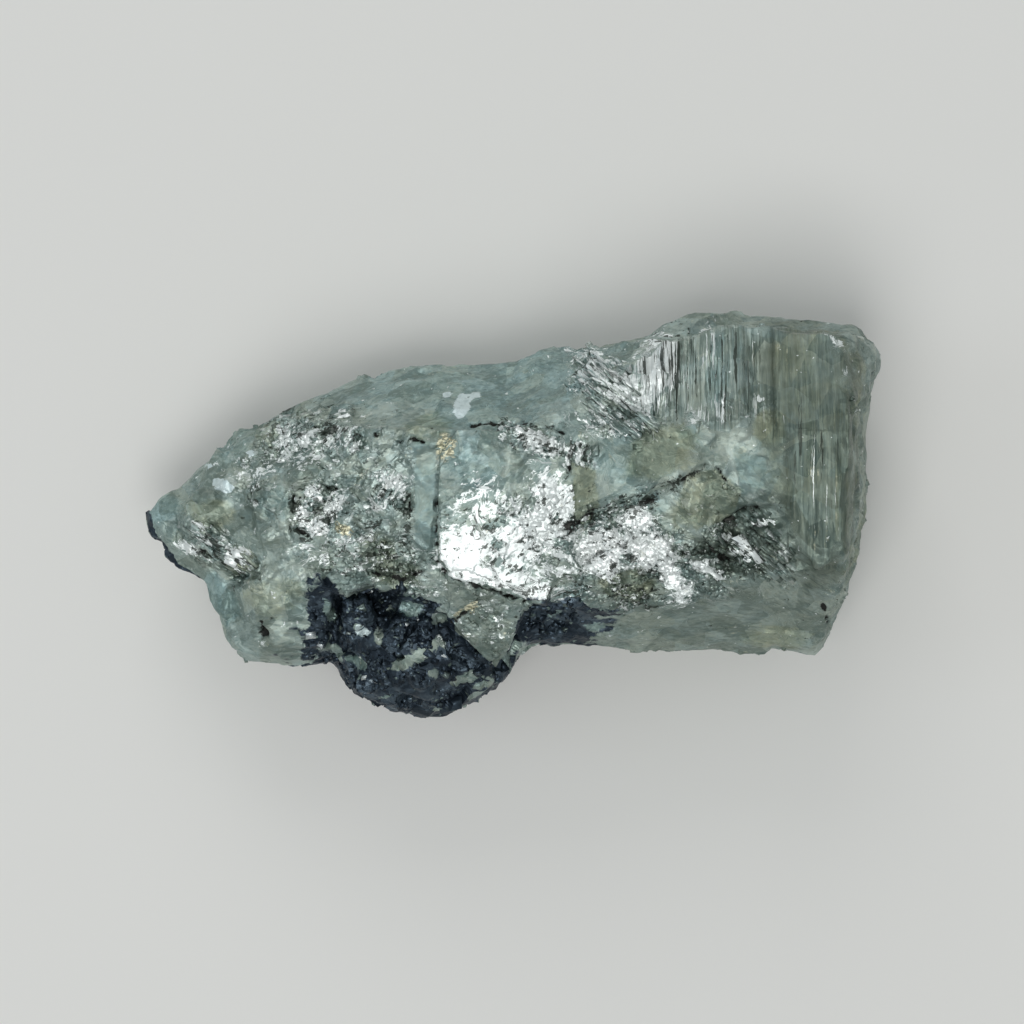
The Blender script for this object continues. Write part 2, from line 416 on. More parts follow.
def chips(places, width, turn, squeeze):
    """Flat chips about one width across, drawn out along the break: how far each place rises as its chip
    leans, and a random number from -1 to 1 that the whole chip shares."""
    squeezed = turned(places, -turn) * squeeze / width
    offsets, shared = np.empty_like(places), np.empty_like(places)
    for i, place in enumerate(squeezed):
        seed = noise.voronoi(Vector(place))[1][0]
        offsets[i] = Vector(place) - seed
        shared[i] = noise.cell_vector(seed * UNLIKE) * 2.0 - Vector((1.0, 1.0, 1.0))
    return (turned(offsets * width / squeeze, turn) * shared).sum(axis=1), shared[:, 0]


def store(mesh, values):
    """Keeps numbers for each vertex in attributes that the material reads."""
    for name, numbers in values.items():
        mesh.attributes.new(name, "FLOAT", "POINT").data.foreach_set("value", numbers.astype(np.float32))


def store_grain_place(mesh, grain_place):
    """Keeps the place that fine patterns are read at, in metres, drawn out along the break."""
    attribute = mesh.attributes.new("grain_place", "FLOAT_VECTOR", "POINT")
    attribute.data.foreach_set("vector", (grain_place * MM).astype(np.float32).ravel())


LUMP = (-10.0, -15.4, 10.4, 7.4, 0, 1)  # the dark lump, as a patch
BLOCK_CHIP, BLOCK_LEAN = 5.0, 0.26  # the blocks that the dark lump breaks in
LARGE_CHIP, COARSE_CHIP, FINE_CHIP = 3.0, 1.4, 0.65  # the sizes of the chips
LARGE_LEAN, COARSE_LEAN, FINE_LEAN = 0.15, 0.32, 0.26  # and how steeply they lean
CALM_CHIP = 0.35  # what is left of the small chips on a large chip that broke smooth
DARK_CHIP = 0.28  # what is left of them on the dark sulphide
WAVES = [(4.5, 0.22), (1.7, 0.09), (0.7, 0.04)]  # (length, height) of the swells of a smooth break
DEEPEST, HIGHEST = -0.5, 0.45  # how far the break may move the surface
LUMP_DEEPER = 0.6  # how much deeper it may go on the lump
STRIA_WIDTH, STRIA_HEIGHT = 0.62, 0.14
STRIA_BEND, BEND_LENGTH = 0.4, 7.0  # how far they bend, in widths, and over what length
STRIA_BREAK = 0.6  # what they take away from the rest of the break
STRIA_NUMBER = 2.7  # gives each its own cell of the noise
BASE_LEVEL, BASE_FADE = 0.05, 1.2  # the break fades in over this height, above a flat base

mass = finely_meshed_stone()
mass_places = numbers_of(mass.data.vertices, "co")
mass_normals = numbers_of(mass.data.vertex_normals, "vector")
mass_zones = zones(mass_places, mass_normals)
grainy, dark = mass_zones["grainy"], mass_zones["dark"]
bright, on_stria = mass_zones["bright"], mass_zones["striated"]
grain_turn, grain_squeeze = grain_frame(mass_places, on_stria)
large_rise, large_pick = chips(mass_places, LARGE_CHIP, grain_turn, np.ones(3))
calm = np.where(large_pick > 0.1, CALM_CHIP, 1.0)
broken = np.maximum(grainy * np.maximum(calm, np.minimum(bright, 1.0)), DARK_CHIP * dark)
chip_squeeze = np.where(on_stria[:, None] > STRIA_FROM, 1.0, grain_squeeze)
rise = large_rise * LARGE_LEAN * np.maximum(grainy, dark)
for width, lean in ((COARSE_CHIP, COARSE_LEAN), (FINE_CHIP, FINE_LEAN)):
    rise += chips(mass_places, width, grain_turn, chip_squeeze)[0] * lean * broken
wedge_corners = FLAT_FACES[0][0]
lump = np.clip(1.5 - reach_of(mass_places, LUMP), 0.0, 1.0)
lump *= 1.0 - face_share(mass_places, wedge_corners, 0.0)
rise += chips(mass_places, BLOCK_CHIP, grain_turn, np.ones(3))[0] * BLOCK_LEAN * lump
for length, height in WAVES:
    rise += height * wobble_at(mass_places, length) * (1.0 - 0.7 * np.maximum(broken, mass_zones["calm"]))
rise = np.clip(rise, DEEPEST - LUMP_DEEPER * lump, HIGHEST)
strip = np.floor(mass_places[:, 0] / STRIA_WIDTH + STRIA_BEND * wobble_at(mass_places, BEND_LENGTH))
stria = np.array([noise.cell(Vector((STRIA_NUMBER * number + 0.5, 0.5, 0.5))) for number in strip])
stria *= STRIA_HEIGHT
rise = rise * (1.0 - STRIA_BREAK * on_stria) + stria * np.minimum(on_stria * 1.5, 1.0)
crack_depth, crack_dark = crack_share(mass_places, mass_normals)
rise -= crack_depth
rise *= np.clip((mass_places[:, 2] - BASE_LEVEL) / BASE_FADE, 0.0, 1.0)
grain_place = turned(mass_places, -grain_turn) * grain_squeeze
mass_places += mass_normals * rise[:, None]
mass.data.vertices.foreach_set("co", mass_places.astype(np.float32).ravel())
mass.data.update()
mass_zones["grainy"] = broken
mass_zones["crack"] = crack_dark
store(mass.data, mass_zones)
store_grain_place(mass.data, grain_place)
thin = mass.modifiers.new("fewer_faces", "DECIMATE")
mass.data.calc_loop_triangles()
thin.ratio = min(1.0, MASS_TRIANGLES / len(mass.data.loop_triangles))
mass.data = evaluated_mesh(mass)
mass.modifiers.clear()
mass.data.shade_flat()


MIDDLE = (0.5, 0.5, 0.5)  # the middle of the range of a pattern in colour


class Nodes:
    """The nodes of a material or of the world, made and linked by short calls."""

    def __init__(self, owner, main="Principled BSDF"):
        self.owner = owner
        owner.use_nodes = True
        self.tree = owner.node_tree
        self.main = self.tree.nodes[main]

    def add(self, kind, inputs=(), **settings):
        """A node of this kind. Each input is (socket, a number, a colour or another node's output)."""
        node = self.tree.nodes.new(kind)
        for key, value in settings.items():
            setattr(node, key, value)
        for socket, value in inputs:
            self.set(node.inputs[socket], value)
        return node

    def set(self, socket, value):
        """Links another node's output to the socket, or gives it a plain value."""
        if isinstance(value, bpy.types.NodeSocket):
            self.tree.links.new(value, socket)
        else:
            socket.default_value = value

    def shown(self, **inputs):
        """The material or world, with these inputs of its main node set."""
        for name, value in inputs.items():
            self.set(self.main.inputs[name.replace("_", " ")], value)
        return self.owner

    def number(self, operation, *values, clamp=False):
        node = self.add("ShaderNodeMath", enumerate(values), operation=operation, use_clamp=clamp)
        return node.outputs[0]

    def vector(self, operation, *values):
        return self.add("ShaderNodeVectorMath", enumerate(values), operation=operation).outputs[0]

    def scaled(self, vector, factor):
        node = self.add("ShaderNodeVectorMath", [(0, vector), ("Scale", factor)], operation="SCALE")
        return node.outputs[0]

    def attribute(self, name):
        return self.add("ShaderNodeAttribute", attribute_name=name).outputs["Fac"]

    def mix(self, share, first, second, kind="RGBA", way="MIX"):
        """The first colour or number turned into the second by this share."""
        node = self.add("ShaderNodeMix", [("Factor", share)], data_type=kind, blend_type=way)
        socket, output = {"RGBA": (6, 2), "FLOAT": (2, 0)}[kind]
        self.set(node.inputs[socket], first)
        self.set(node.inputs[socket + 1], second)
        return node.outputs[output]

    def blend(self, share, first, second):
        return self.mix(share, first, second, "FLOAT")

    def place(self, name=None):
        """The place on the object, or the place that the named attribute holds."""
        if name:
            return self.add("ShaderNodeAttribute", attribute_name=name).outputs["Vector"]
        return self.add("ShaderNodeTexCoord").outputs["Object"]

    def noise(self, scale, detail=3.0, place=None, rough=0.5):
        """Smooth noise about 0.5, with features about 1 / scale metres across."""
        inputs = {"Vector": place or self.place(), "Scale": scale, "Detail": detail, "Roughness": rough}
        return self.add("ShaderNodeTexNoise", inputs.items()).outputs["Fac"]

    def cells(self, scale, place=None, distance="CHEBYCHEV"):
        """Straight-edged cells about 1 / scale metres across: the random colour of each."""
        inputs = {"Vector": place or self.place(), "Scale": scale}
        return self.add("ShaderNodeTexVoronoi", inputs.items(), distance=distance).outputs["Color"]

    def ramp(self, value, low, high):
        """0 below low, 1 above high."""
        node = self.add("ShaderNodeMapRange", [("Value", value), (1, low), (2, high)])
        return node.outputs[0]

    def centred(self, pattern, gain):
        """A pattern about 0.5 turned into one about 0, gain times as strong."""
        return self.times(self.number("SUBTRACT", pattern, 0.5), gain)

    def times(self, first, second):
        return self.number("MULTIPLY", first, second)

    def together(self, first, *more):
        """The sum of the patterns."""
        for pattern in more:
            first = self.number("ADD", first, pattern)
        return first

    def above(self, pattern, level, softness):
        """1 where a pattern is above a level, 0 below it."""
        return self.ramp(self.number("SUBTRACT", pattern, level), -softness, softness)

    def tinted(self, share, colour, tint):
        """The colour multiplied by the tint, by this share."""
        return self.mix(share, colour, tint, way="MULTIPLY")

    def parts(self, colour):
        """The colour's red, green and blue, as three unlike random numbers of a cell."""
        return self.add("ShaderNodeSeparateColor", [(0, colour)]).outputs[:3]

    def warped(self, place, scale, reach):
        """The place moved by up to reach, so that straight edges turn ragged."""
        node = self.add("ShaderNodeTexNoise", [("Vector", place), ("Scale", scale)])
        off = self.vector("SUBTRACT", node.outputs["Color"], MIDDLE)
        return self.vector("ADD", place, self.scaled(off, reach))

    def facets(self, lean, *cells, lean_to=None):
        """The surface normal, leaning its own way in each cell."""
        normal = self.add("ShaderNodeNewGeometry").outputs["Normal"]
        if lean_to:
            normal = self.vector("ADD", normal, lean_to)
        for cell in cells:
            off = self.vector("SUBTRACT", cell, MIDDLE)
            normal = self.vector("ADD", normal, self.scaled(off, lean))
        return self.vector("NORMALIZE", normal)

    def bump(self, height, depth, strength, normal):
        """The normal of a surface with this height, from 0 to 1 over the given depth."""
        inputs = {"Height": height, "Distance": depth, "Strength": strength, "Normal": normal}
        return self.add("ShaderNodeBump", inputs.items()).outputs["Normal"]


STEEL_GREEN = (0.185, 0.245, 0.222, 1)
PALE_GREEN = (0.440, 0.520, 0.478, 1)
# Tints, which the two greens are multiplied by
BLUE_TINT = (0.95, 1.00, 1.04, 1)
OLIVE_TINT = (1.04, 1.00, 0.94, 1)
BLUE_FILM = (0.90, 1.00, 1.05, 1)
OLIVE_BROWN = (1.06, 1.00, 0.86, 1)
DULL_GREEN = (0.45, 0.465, 0.425, 1)
# Colours that take the greens' place
SILVER = (0.78, 0.83, 0.81, 1)
FLASH_WHITE = (0.96, 1.00, 0.98, 1)
GOLD = (0.33, 0.325, 0.225, 1)
PALE_GOLD = (0.82, 0.79, 0.57, 1)
QUARTZ_WHITE = (0.72, 0.83, 0.84, 1)
QUARTZ_GREY = (0.42, 0.53, 0.54, 1)
DARK_SULPHIDE = (0.022, 0.034, 0.048, 1)
GREY_SULPHIDE = (0.095, 0.130, 0.160, 1)
DARK_SPECK = (0.030, 0.040, 0.031, 1)
CRACK_BROWN = (0.022, 0.023, 0.020, 1)
CLEAVAGE_LEAN = (-0.05, -0.22, 0.9)  # the way that the bright cleavage faces lean together
GRAIN_SIZES = (700.0, 1500.0, 3200.0, 6000.0)  # large to tiny, in grains a metre
FACET_SIZE = 360.0  # the facets of the smooth faces
RAGGED_GRAIN, RAGGED_FACET = (1400.0, 0.0004), (700.0, 0.0004)  # how their edges stray: scale, reach
RELIEF = 0.0003  # the depth of the finest relief


def pyrite_surface():
    """Metallic grey-green pyrite, with its films, olive patches, bright cleavage and dark inclusions."""
    n = Nodes(bpy.data.materials.new("pyrite_surface"))
    grain, bright, striated = n.attribute("grainy"), n.attribute("bright"), n.attribute("striated")
    drawn_out = n.place("grain_place")
    warped = n.warped(drawn_out, *RAGGED_GRAIN)
    cells = [n.cells(size, warped) for size in GRAIN_SIZES]
    tones, picks, specks = zip(*map(n.parts, cells))
    facet = n.cells(FACET_SIZE, n.warped(n.place(), *RAGGED_FACET), "EUCLIDEAN")
    facet_tone, facet_hue, _ = n.parts(facet)

    def chipped(scale, large, medium, small, tiny):
        """A pattern about 0.5 of ragged noise and of grains of four sizes."""
        return n.together(
            0.5, n.centred(n.noise(scale, 5.0, drawn_out, rough=0.7), 1.6), n.centred(large, 0.22),
            n.centred(medium, 0.42), n.centred(small, 0.34), n.centred(tiny, 0.16),
        )

    ragged = n.together(
        n.centred(n.noise(420.0, 5.0, rough=0.65), 1.2), n.centred(picks[0], 0.3), n.centred(picks[1], 0.3),
    )

    def share(name, softness=0.3):
        """A patch's share, with its edge broken up along the grains."""
        return n.above(n.number("ADD", n.attribute(name), ragged), 0.5, softness)

    # Two greens, mottled in the smooth faces and set out in grains in the grainy ones
    lines = n.times(n.centred(n.noise(2300.0, 4.0, drawn_out, rough=0.7), 3.4), striated)
    wisps = n.centred(n.noise(1900.0, 3.0, drawn_out, rough=0.7), 1.3)
    grain_tone = n.together(n.centred(tones[0], 1.1), n.centred(tones[1], 0.9))
    variety = n.together(
        n.centred(n.noise(450.0, 4.0, rough=0.6), 1.2), n.centred(facet_tone, 0.65),
        n.times(wisps, n.blend(grain, 0.6, 1.0)), lines, n.times(grain_tone, n.blend(grain, 0.3, 1.0)),
        n.centred(tones[2], 0.45), n.centred(tones[3], 0.25),
    )
    tone = n.number("ADD", 0.44, n.times(variety, n.blend(n.attribute("calm"), 1.0, 0.35)))
    colour = n.mix(n.number("ADD", tone, 0.0, clamp=True), STEEL_GREEN, PALE_GREEN)
    clouds = n.times(n.centred(n.noise(500.0, 5.0, rough=0.7), 3.6), n.blend(grain, 0.55, 1.0))
    hue = n.together(clouds, n.centred(facet_hue, 0.8), n.centred(specks[2], 0.5))
    hue = n.number("ADD", 0.5, hue, clamp=True)
    colour = n.tinted(0.9, colour, n.mix(hue, BLUE_TINT, OLIVE_TINT))
    colour = n.tinted(share("film"), colour, BLUE_FILM)
    colour = n.tinted(share("olive"), colour, OLIVE_BROWN)
    colour = n.tinted(n.attribute("dull"), colour, DULL_GREEN)
    # Bright cleavage: ragged grains that close up as the share of bright grows
    level = n.number("SUBTRACT", 1.06, n.times(bright, 0.78))
    flecks = n.together(chipped(700.0, *picks), n.times(lines, 0.3))
    solid = n.above(n.number("ADD", bright, n.times(ragged, 0.45)), 0.88, 0.05)
    silver = n.number("MAXIMUM", n.above(flecks, level, 0.045), n.times(solid, 0.96))
    colour = n.mix(silver, colour, n.mix(n.ramp(bright, 0.98, 1.2), SILVER, FLASH_WHITE))
    # Small faces that flash, small faces turned away, and golden ones
    glint = n.number("MAXIMUM", n.above(picks[1], 0.93, 0.01), n.above(picks[2], 0.97, 0.01))
    colour = n.mix(n.times(n.times(glint, grain), 0.85), colour, SILVER)
    away = n.number("MAXIMUM", n.above(specks[1], 0.92, 0.01), n.above(specks[2], 0.96, 0.01))
    colour = n.mix(n.times(n.times(away, grain), 0.6), colour, DARK_SPECK)
    golden = share("golden", 0.2)
    colour = n.mix(n.times(golden, n.above(picks[2], 0.35, 0.02)), colour, GOLD)
    colour = n.mix(n.times(golden, n.above(tones[3], 0.6, 0.02)), colour, PALE_GOLD)
    # Dark specks between the grains, and a few pale ones everywhere
    level = n.number("SUBTRACT", 1.04, n.times(n.attribute("specked"), 0.44))
    dark_flecks = n.together(chipped(850.0, *specks), n.times(lines, -0.22))
    colour = n.mix(n.times(n.above(dark_flecks, level, 0.04), 0.92), colour, DARK_SPECK)
    colour = n.mix(n.ramp(n.noise(1300.0, 3.0), 0.70, 0.74), colour, SILVER)
    # Dark sulphide, blotched with grey
    dark_share = share("dark", 0.08)
    blotch = n.together(
        n.centred(n.noise(520.0, 5.0, rough=0.7), 2.0), n.centred(tones[1], 0.9), n.centred(tones[0], 0.7),
        n.centred(facet_tone, 0.6), n.times(share("film"), 0.5),
    )
    sulphide = n.mix(n.ramp(blotch, -0.1, 1.1), DARK_SULPHIDE, GREY_SULPHIDE)
    sulphide = n.mix(n.ramp(n.noise(1100.0, 3.0), 0.66, 0.70), sulphide, STEEL_GREEN)
    colour = n.mix(dark_share, colour, sulphide)
    # Quartz, and the dark of the cracks
    quartz = share("quartz", 0.1)
    cloudy = n.mix(n.ramp(n.noise(1100.0, 5.0, rough=0.7), 0.25, 0.5), QUARTZ_GREY, QUARTZ_WHITE)
    colour = n.mix(n.times(quartz, 0.92), colour, cloudy)
    crack = n.together(n.attribute("crack"), n.centred(n.noise(1600.0, 4.0, rough=0.65), 1.6))
    crack = n.above(crack, 0.55, 0.15)
    colour = n.mix(crack, colour, CRACK_BROWN)
    # The shine, and the ways that the small faces lean
    metal = n.blend(n.number("MAXIMUM", dark_share, crack), n.blend(silver, 0.6, 0.35), 0.75)
    rough = n.blend(n.number("MAXIMUM", grain, silver), 0.48, 0.36)
    rough = n.together(rough, n.centred(n.noise(900.0), 0.3))
    lean = n.together(n.blend(grain, 0.10, 0.22), n.times(striated, 0.25))
    lean = n.times(lean, n.blend(solid, 1.0, 0.4))
    normal = n.facets(lean, facet, *cells[:3], lean_to=n.scaled(CLEAVAGE_LEAN, silver))
    relief = n.times(n.blend(grain, 0.2, 0.8), n.blend(solid, 1.0, 0.15))
    rough_height = n.times(n.noise(900.0, 4.0, drawn_out, rough=0.6), relief)
    bumpy = n.bump(rough_height, RELIEF, 0.5, normal)
    return n.shown(Base_Color=colour, Metallic=metal, Roughness=rough, Normal=bumpy)


pyrite = pyrite_surface()


def finish_piece(obj, material):
    """Turns a piece from mm to metres, gives it its material, and ties it to the stone."""
    obj.data.transform(((MM, 0, 0, 0), (0, MM, 0, 0), (0, 0, MM, 0), (0, 0, 0, 1)))
    obj.data.materials.clear()
    obj.data.materials.append(material)
    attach(obj, "root")
    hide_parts("pyrite")


stone_tree = BVHTree.FromPolygons(
    [Vector(v.co) for v in mass.data.vertices], [tuple(p.vertices) for p in mass.data.polygons]
)

# ------------------------
# Cleavage steps: thousands of small crystals of pyrite that grew through one another. The break left their
# corners standing in the grainy faces. Neighbours share one lattice, so patches of them flash together.
# ------------------------
rng = np.random.default_rng(7)
CLEAR_OF_BASE = 0.8  # no small crystal stands lower than this
STRAY = 0.06  # how far a small crystal strays from the middle of its face
LATTICE_TILT, SLIVER_TURN = 0.03, 0.16  # how far a crystal strays from the level, and from its sliver
BLOCK = 2000  # how many places are matched to their domains at a time
BOX_CORNERS = np.array([[x, y, z] for z in (-0.5, 0.5) for y in (-0.5, 0.5) for x in (-0.5, 0.5)])
BOX_FACES = np.array([
    [0, 2, 3, 1], [4, 5, 7, 6], [0, 1, 5, 4], [1, 3, 7, 5], [3, 2, 6, 7], [2, 0, 4, 6],
])


def surface_samples(count, weight):
    """Places and normals at random over the mass, where weight is the density at each of its faces."""
    centres, normals = numbers_of(mass.data.polygons, "center"), numbers_of(mass.data.polygons, "normal")
    density = numbers_of(mass.data.polygons, "area", 1)[:, 0] * weight(centres, normals)
    chosen = rng.choice(len(density), count, p=density / density.sum())
    return centres[chosen] + rng.normal(0, STRAY, (count, 3)), normals[chosen]


def unit(vectors):
    """The vectors, each one long."""
    return vectors / np.linalg.norm(vectors, axis=-1, keepdims=True)


def lattices(upward, turn):
    """Right-handed axes, one set for each upward direction. The first points the turn's way from above."""
    ahead = np.stack([-np.sin(turn), np.cos(turn), np.full(len(turn), LATTICE_TILT)], axis=1)
    side = unit(np.cross(ahead, upward))
    return np.stack([side, np.cross(upward, side), upward], axis=2)


def domain_lattices(places, normals, domains, lean):
    """One lattice for each place, shared by the places of a domain. It follows the slivers, where there
    are any."""
    seeds = rng.choice(len(places), domains, replace=False)
    nearest = np.empty(len(places), int)
    for start in range(0, len(places), BLOCK):
        apart = places[start:start + BLOCK, None] - places[seeds][None]
        nearest[start:start + BLOCK] = (apart ** 2).sum(2).argmin(1)
    upward = unit(normals[seeds] + rng.normal(0, lean, (domains, 3)))
    turn = rng.uniform(0, math.pi / 2, domains)[nearest]
    grain_turn, _ = grain_frame(places, np.zeros(len(places)))
    drawn = streak_share(places) > SLIVER_FROM
    turn = np.where(drawn, grain_turn + rng.normal(0, SLIVER_TURN, len(places)), turn)
    return lattices(np.where(drawn[:, None], unit(normals), upward[nearest]), turn)


def box_mesh(name, centres, axes, sizes, jitter):
    """A joined mesh of small boxes, each with its own centre, axes and three sizes. Every corner is moved
    by up to jitter, as a share of the box's size."""
    corners = BOX_CORNERS[None] + rng.uniform(-jitter, jitter, (len(centres), *BOX_CORNERS.shape))
    verts = centres[:, None] + np.einsum("nij,nkj->nki", axes, corners * sizes[:, None])
    faces = BOX_FACES[None] + len(BOX_CORNERS) * np.arange(len(centres))[:, None, None]
    mesh = bpy.data.meshes.new(name)
    mesh.vertices.add(verts.size // 3)
    mesh.vertices.foreach_set("co", verts.astype(np.float32).ravel())
    mesh.loops.add(faces.size)
    mesh.loops.foreach_set("vertex_index", faces.ravel())
    mesh.polygons.add(faces.size // 4)
    mesh.polygons.foreach_set("loop_start", np.arange(0, faces.size, 4))
    mesh.update(calc_edges=True)
    return in_scene(name, mesh)


def standing_boxes(name, places, normals, axes, sizes, clearance, jitter):
    """Boxes in the surface, with the top of each clear of it by a random height."""
    sink = 0.5 * sizes[:, 2] - rng.uniform(*clearance, len(places))
    return box_mesh(name, places - normals * sink[:, None], axes, sizes, jitter)


def store_by_box(mesh, values):
    """Attributes with one number for each box, and the place that fine patterns are read at."""
    each = len(BOX_CORNERS)
    store(mesh, {name: np.repeat(numbers, each) for name, numbers in values.items()})
    if "striated" in values:
        places = numbers_of(mesh.vertices, "co")
        turn, squeeze = grain_frame(places[::each], values["striated"])
        turn, squeeze = np.repeat(turn, each), np.repeat(squeeze, each, axis=0)
        store_grain_place(mesh, turned(places, -turn) * squeeze)


STEP_COUNT = 3000
STEP_EDGE, STEP_SPREAD = 0.58, 0.42  # the usual size, and how unlike the sizes are
STEP_HEIGHT = 0.8  # as a share of the width
STEP_DOMAINS, STEP_LEAN = 420, 0.12  # how far a domain leans from the surface
STEP_CLEARANCE, STEP_JITTER = (-0.02, 0.10), 0.08
STEEP = 0.62  # slivers steeper than this have no crystals
FEW = 0.10  # the share of crystals on the sides


def step_weight(centres, normals):
    """How thick the crystals lie: in grainy pyrite, mostly on top."""
    shares = zones(centres, normals)
    weight = FEW + (1.0 - FEW) * facing_up(normals, 0.35, 0.8) * (centres[:, 2] > TOP_LEVEL)
    weight = weight * shares["grainy"] ** 3 * (shares["striated"] < STRIA_FROM) * (1.0 - shares["dark"])
    steep_sliver = (streak_share(centres) > SLIVER_FROM) * (normals[:, 2] < STEEP)
    return weight * (centres[:, 2] > CLEAR_OF_BASE) * (1.0 - steep_sliver)


step_places, step_normals = surface_samples(STEP_COUNT, step_weight)
step_zones = zones(step_places, step_normals)
step_axes = domain_lattices(step_places, step_normals, STEP_DOMAINS, STEP_LEAN)
step_sizes = STEP_EDGE * np.exp(rng.normal(0, STEP_SPREAD, (STEP_COUNT, 3)))
step_sizes[:, 2] *= STEP_HEIGHT
step_streaks = streak_share(step_places)
step_sizes[:, 0] *= 1.0 + 1.8 * step_streaks
step_sizes[:, 1] *= 1.0 - 0.5 * step_streaks
steps = standing_boxes(
    "cleavage_steps", step_places, step_normals, step_axes, step_sizes, STEP_CLEARANCE, STEP_JITTER,
)
store_by_box(steps.data, step_zones)
finish_piece(steps, pyrite)

# ------------------------
# Growth striations: the long narrow steps on the head and the wall of the striated end, where two crystal
# faces took turns to grow. They run the same way all along the face, and their ends are chipped.
# ------------------------
SLAT_COUNT = 1100
SLAT_X, SLAT_Y = (14.0, 36.0), (-5.0, 20.5)  # where the striated faces are
SLAT_LENGTH, SLAT_WIDTH, SLAT_HEIGHT = (0.8, 4.5), (0.10, 0.30), (0.34, 0.46)
SLAT_SINK, SLAT_JITTER = 0.19, 0.03
SLAT_STEEPEST = 0.9  # a step may fall by this share of its length
SLAT_ROLL = 0.14  # how far the steps roll to either side, in radians
FACE_LEVEL, ABOVE_ALL = 25.0, 40.0  # about where the striated faces are, and above the whole stone
DOWN = Vector((0, 0, -1))
slat_x, slat_y = rng.uniform(*SLAT_X, SLAT_COUNT), rng.uniform(*SLAT_Y, SLAT_COUNT)
slat_trial = np.stack([slat_x, slat_y, np.full(SLAT_COUNT, FACE_LEVEL)], axis=1)
slat_strength = zones(slat_trial, np.tile((0.0, 0.0, 1.0), (SLAT_COUNT, 1)))["striated"]
keep = slat_strength > rng.uniform(0.35, 1.2, SLAT_COUNT)
slat_x, slat_y = slat_x[keep], slat_y[keep]
slat_length = rng.uniform(*SLAT_LENGTH, len(slat_x))
slat_centres, slat_axes, slat_sizes = [], [], []
for x, y, length in zip(slat_x, slat_y, slat_length):
    ends = []
    for end in (-0.5, 0.5):
        hit = stone_tree.ray_cast(Vector((x, y + end * length, ABOVE_ALL)), DOWN)
        ends.append(hit[0])
    if None in ends or min(e.z for e in ends) < STRIATED_LEVEL - 1.0:
        continue
    if abs(ends[0].z - ends[1].z) > SLAT_STEEPEST * length:
        continue
    along = (ends[1] - ends[0]).normalized()
    roll = rng.normal(0, SLAT_ROLL)
    side = Vector((math.cos(roll), 0.0, math.sin(roll)))
    upward = side.cross(along).normalized()
    side = along.cross(upward)
    slat_centres.append((ends[0] + ends[1]) / 2 - upward * SLAT_SINK)
    slat_axes.append(np.array([side, along, upward]).T)
    slat_sizes.append((rng.uniform(*SLAT_WIDTH), (ends[1] - ends[0]).length, rng.uniform(*SLAT_HEIGHT)))
slat_centres, slat_axes, slat_sizes = np.array(slat_centres), np.array(slat_axes), np.array(slat_sizes)
slats = box_mesh("growth_striations", slat_centres, slat_axes, slat_sizes, SLAT_JITTER)
store_by_box(slats.data, zones(slat_centres, slat_axes[:, :, 2]))
finish_piece(slats, pyrite)

# ------------------------
# Dark sulphide grains: the small blue-black crystals of the lump on the front edge and of the sliver beside
# it, grown into the pyrite.
# ------------------------
GRAIN_COUNT = 600
GRAINS_FROM = -30.0  # the thin rim of sulphide at the point has none
ALL_DARK = 0.8  # the share of sulphide that the grains need
GRAIN_DOMAINS, GRAIN_LEAN = 500, 0.10
GRAIN_EDGE, GRAIN_SPREAD = 0.6, 0.42
GRAIN_CLEARANCE, GRAIN_JITTER = (-0.14, 0.05), 0.14


def grain_weight(centres, normals):
    """How thick the grains lie: on the top of the dark sulphide alone."""
    on_top = facing_up(normals, 0.65, 0.9) * (centres[:, 2] > CLEAR_OF_BASE) * (centres[:, 0] > GRAINS_FROM)
    return (zones(centres, normals)["dark"] > ALL_DARK) * on_top + 1e-9


grain_places, grain_normals = surface_samples(GRAIN_COUNT, grain_weight)
grain_axes = domain_lattices(grain_places, grain_normals, GRAIN_DOMAINS, GRAIN_LEAN)
grain_sizes = GRAIN_EDGE * np.exp(rng.normal(0, GRAIN_SPREAD, (GRAIN_COUNT, 3)))
grains = standing_boxes(
    "dark_sulphide_grains", grain_places, grain_normals, grain_axes, grain_sizes, GRAIN_CLEARANCE,
    GRAIN_JITTER,
)
store_by_box(grains.data, {"shade": rng.random(GRAIN_COUNT)})


BLUE_BLACK, SLATE = (0.018, 0.028, 0.040, 1), (0.075, 0.105, 0.135, 1)
DUST_GREY, PALE_GRAIN, WHITE_GRAIN = (0.10, 0.13, 0.14, 1), (0.15, 0.19, 0.18, 1), (0.75, 0.8, 0.8, 1)


def dark_sulphide():
    """Blue-black sulphide with a dull metallic shine, a few grains paler."""
    n = Nodes(bpy.data.materials.new("dark_sulphide"))
    shade = n.attribute("shade")
    colour = n.mix(n.ramp(shade, 0.3, 0.9), BLUE_BLACK, SLATE)
    colour = n.mix(n.ramp(n.noise(1500.0, 5.0), 0.58, 0.68), colour, DUST_GREY)
    colour = n.mix(n.ramp(shade, 0.94, 0.945), colour, PALE_GRAIN)
    colour = n.mix(n.ramp(shade, 0.98, 0.985), colour, WHITE_GRAIN)
    rough = n.blend(n.noise(700.0), 0.2, 0.5)
    normal = n.facets(0.25, n.cells(1200.0), n.cells(2600.0))
    return n.shown(Base_Color=colour, Metallic=0.8, Roughness=rough, Normal=normal)


finish_piece(grains, dark_sulphide())
finish_piece(mass, pyrite)

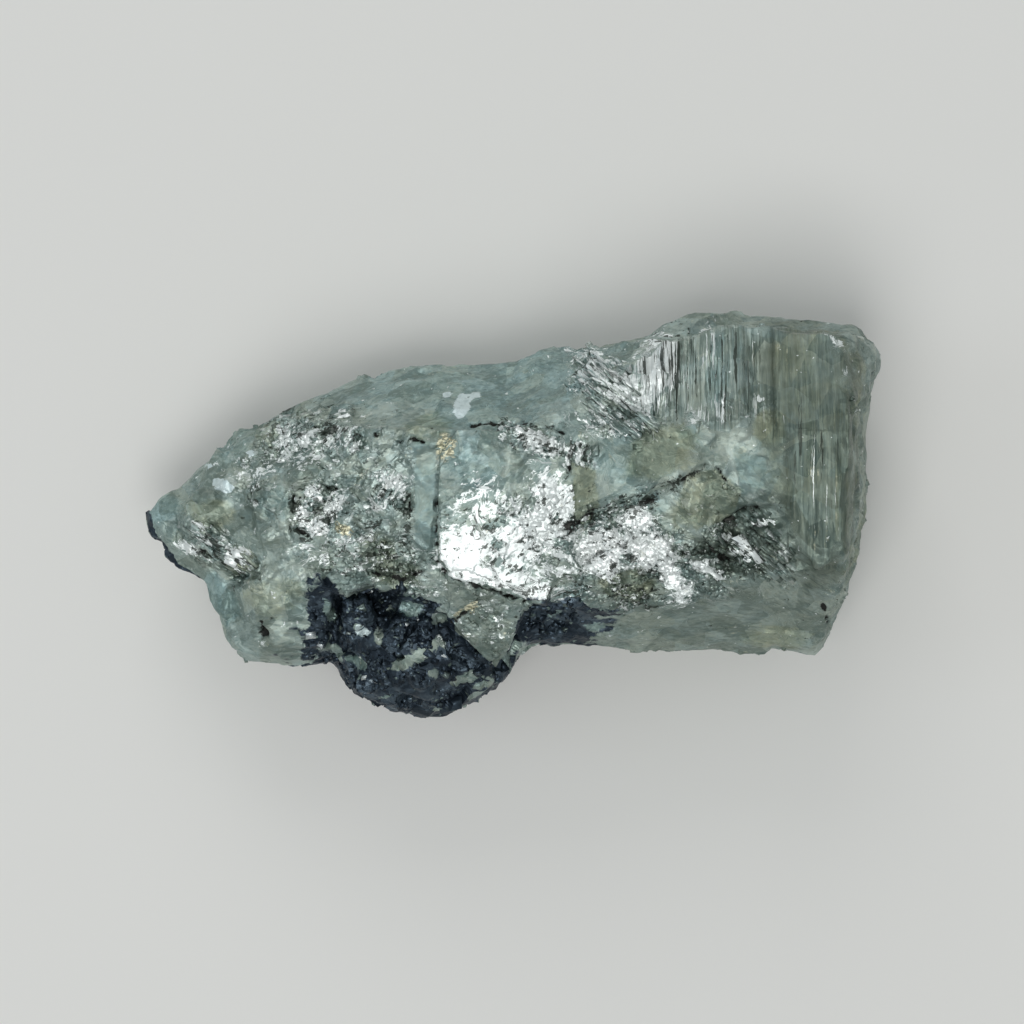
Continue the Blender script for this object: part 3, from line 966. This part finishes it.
# ------------------------
# Stage: a plain pale floor, soft studio lights and the camera straight above.
# ------------------------
FLOOR_REACH, FLOOR_PAINT = 3.0, (0.82, 0.81, 0.78, 1)
FLOOR_DROP = 0.1 * MM  # keeps the floor clear of the flat base
floor_bm = bmesh.new()
bmesh.ops.create_grid(floor_bm, x_segments=1, y_segments=1, size=FLOOR_REACH)
floor_mesh = bpy.data.meshes.new("floor")
floor_bm.to_mesh(floor_mesh)
floor_bm.free()
floor = in_scene("floor", floor_mesh)
floor.location.z = -FLOOR_DROP
floor_paint = Nodes(bpy.data.materials.new("pale_floor"))
floor.data.materials.append(floor_paint.shown(Base_Color=FLOOR_PAINT, Roughness=0.8))


LIGHT_DISTANCE, DAYLIGHT = 1.2, (0.85, 0.93, 1.0)


def soft_light(name, direction, size, brightness, colour=(1, 1, 1)):
    """A square soft box that faces the stone, of the given radiance."""
    lamp = bpy.data.lights.new(name, "AREA")
    lamp.shape = "SQUARE"
    lamp.size = size
    lamp.energy = brightness * math.pi * size * size
    lamp.color = colour
    box = in_scene(name, lamp)
    way = Vector(direction).normalized()
    box.location = way * LIGHT_DISTANCE
    box.rotation_mode = "QUATERNION"
    box.rotation_quaternion = way.to_track_quat("Z", "Y")


soft_light("overhead", (-0.08, -0.40, 1.0), 0.7, 3.4)
soft_light("back_low", (-0.15, 1.0, 0.62), 0.6, 2.4)
soft_light("side_left", (-1.0, 0.1, 0.5), 0.5, 1.6, DAYLIGHT)

# An even grey room, a little paler overhead. The view is level at 0 and straight up at 1.
CEILING_FROM, CEILING_TO = 0.55, 0.97
ROOM_GREY, CEILING_GREY = (0.30, 0.32, 0.33, 1), (0.40, 0.42, 0.42, 1)
sky = Nodes(bpy.data.worlds.new("studio"), "Background")
view = sky.add("ShaderNodeTexCoord").outputs["Generated"]
rise_of_view = sky.add("ShaderNodeSeparateXYZ", [(0, view)]).outputs["Z"]
overhead = sky.ramp(rise_of_view, CEILING_FROM, CEILING_TO)
bpy.context.scene.world = sky.shown(Color=sky.mix(overhead, ROOM_GREY, CEILING_GREY))

CAMERA_LENS, SENSOR, CAMERA_X = 300.0, 36.0, -0.1 * MM
STONE_LENGTH, STONE_PIXELS, PICTURE_PIXELS = 80.0, 735.0, 1024
PICTURE_WIDTH = PICTURE_PIXELS * STONE_LENGTH / STONE_PIXELS * MM  # what the picture spans at the girth
GIRTH_LEVEL = 11.0 * MM  # the stone is widest here
camera = bpy.data.cameras.new("camera")
camera.lens = CAMERA_LENS
camera.sensor_width = SENSOR
viewer = in_scene("camera", camera)
viewer.location = (CAMERA_X, 0.0, GIRTH_LEVEL + PICTURE_WIDTH * CAMERA_LENS / SENSOR)
bpy.context.scene.camera = viewer
bpy.context.scene.view_settings.view_transform = "Standard"
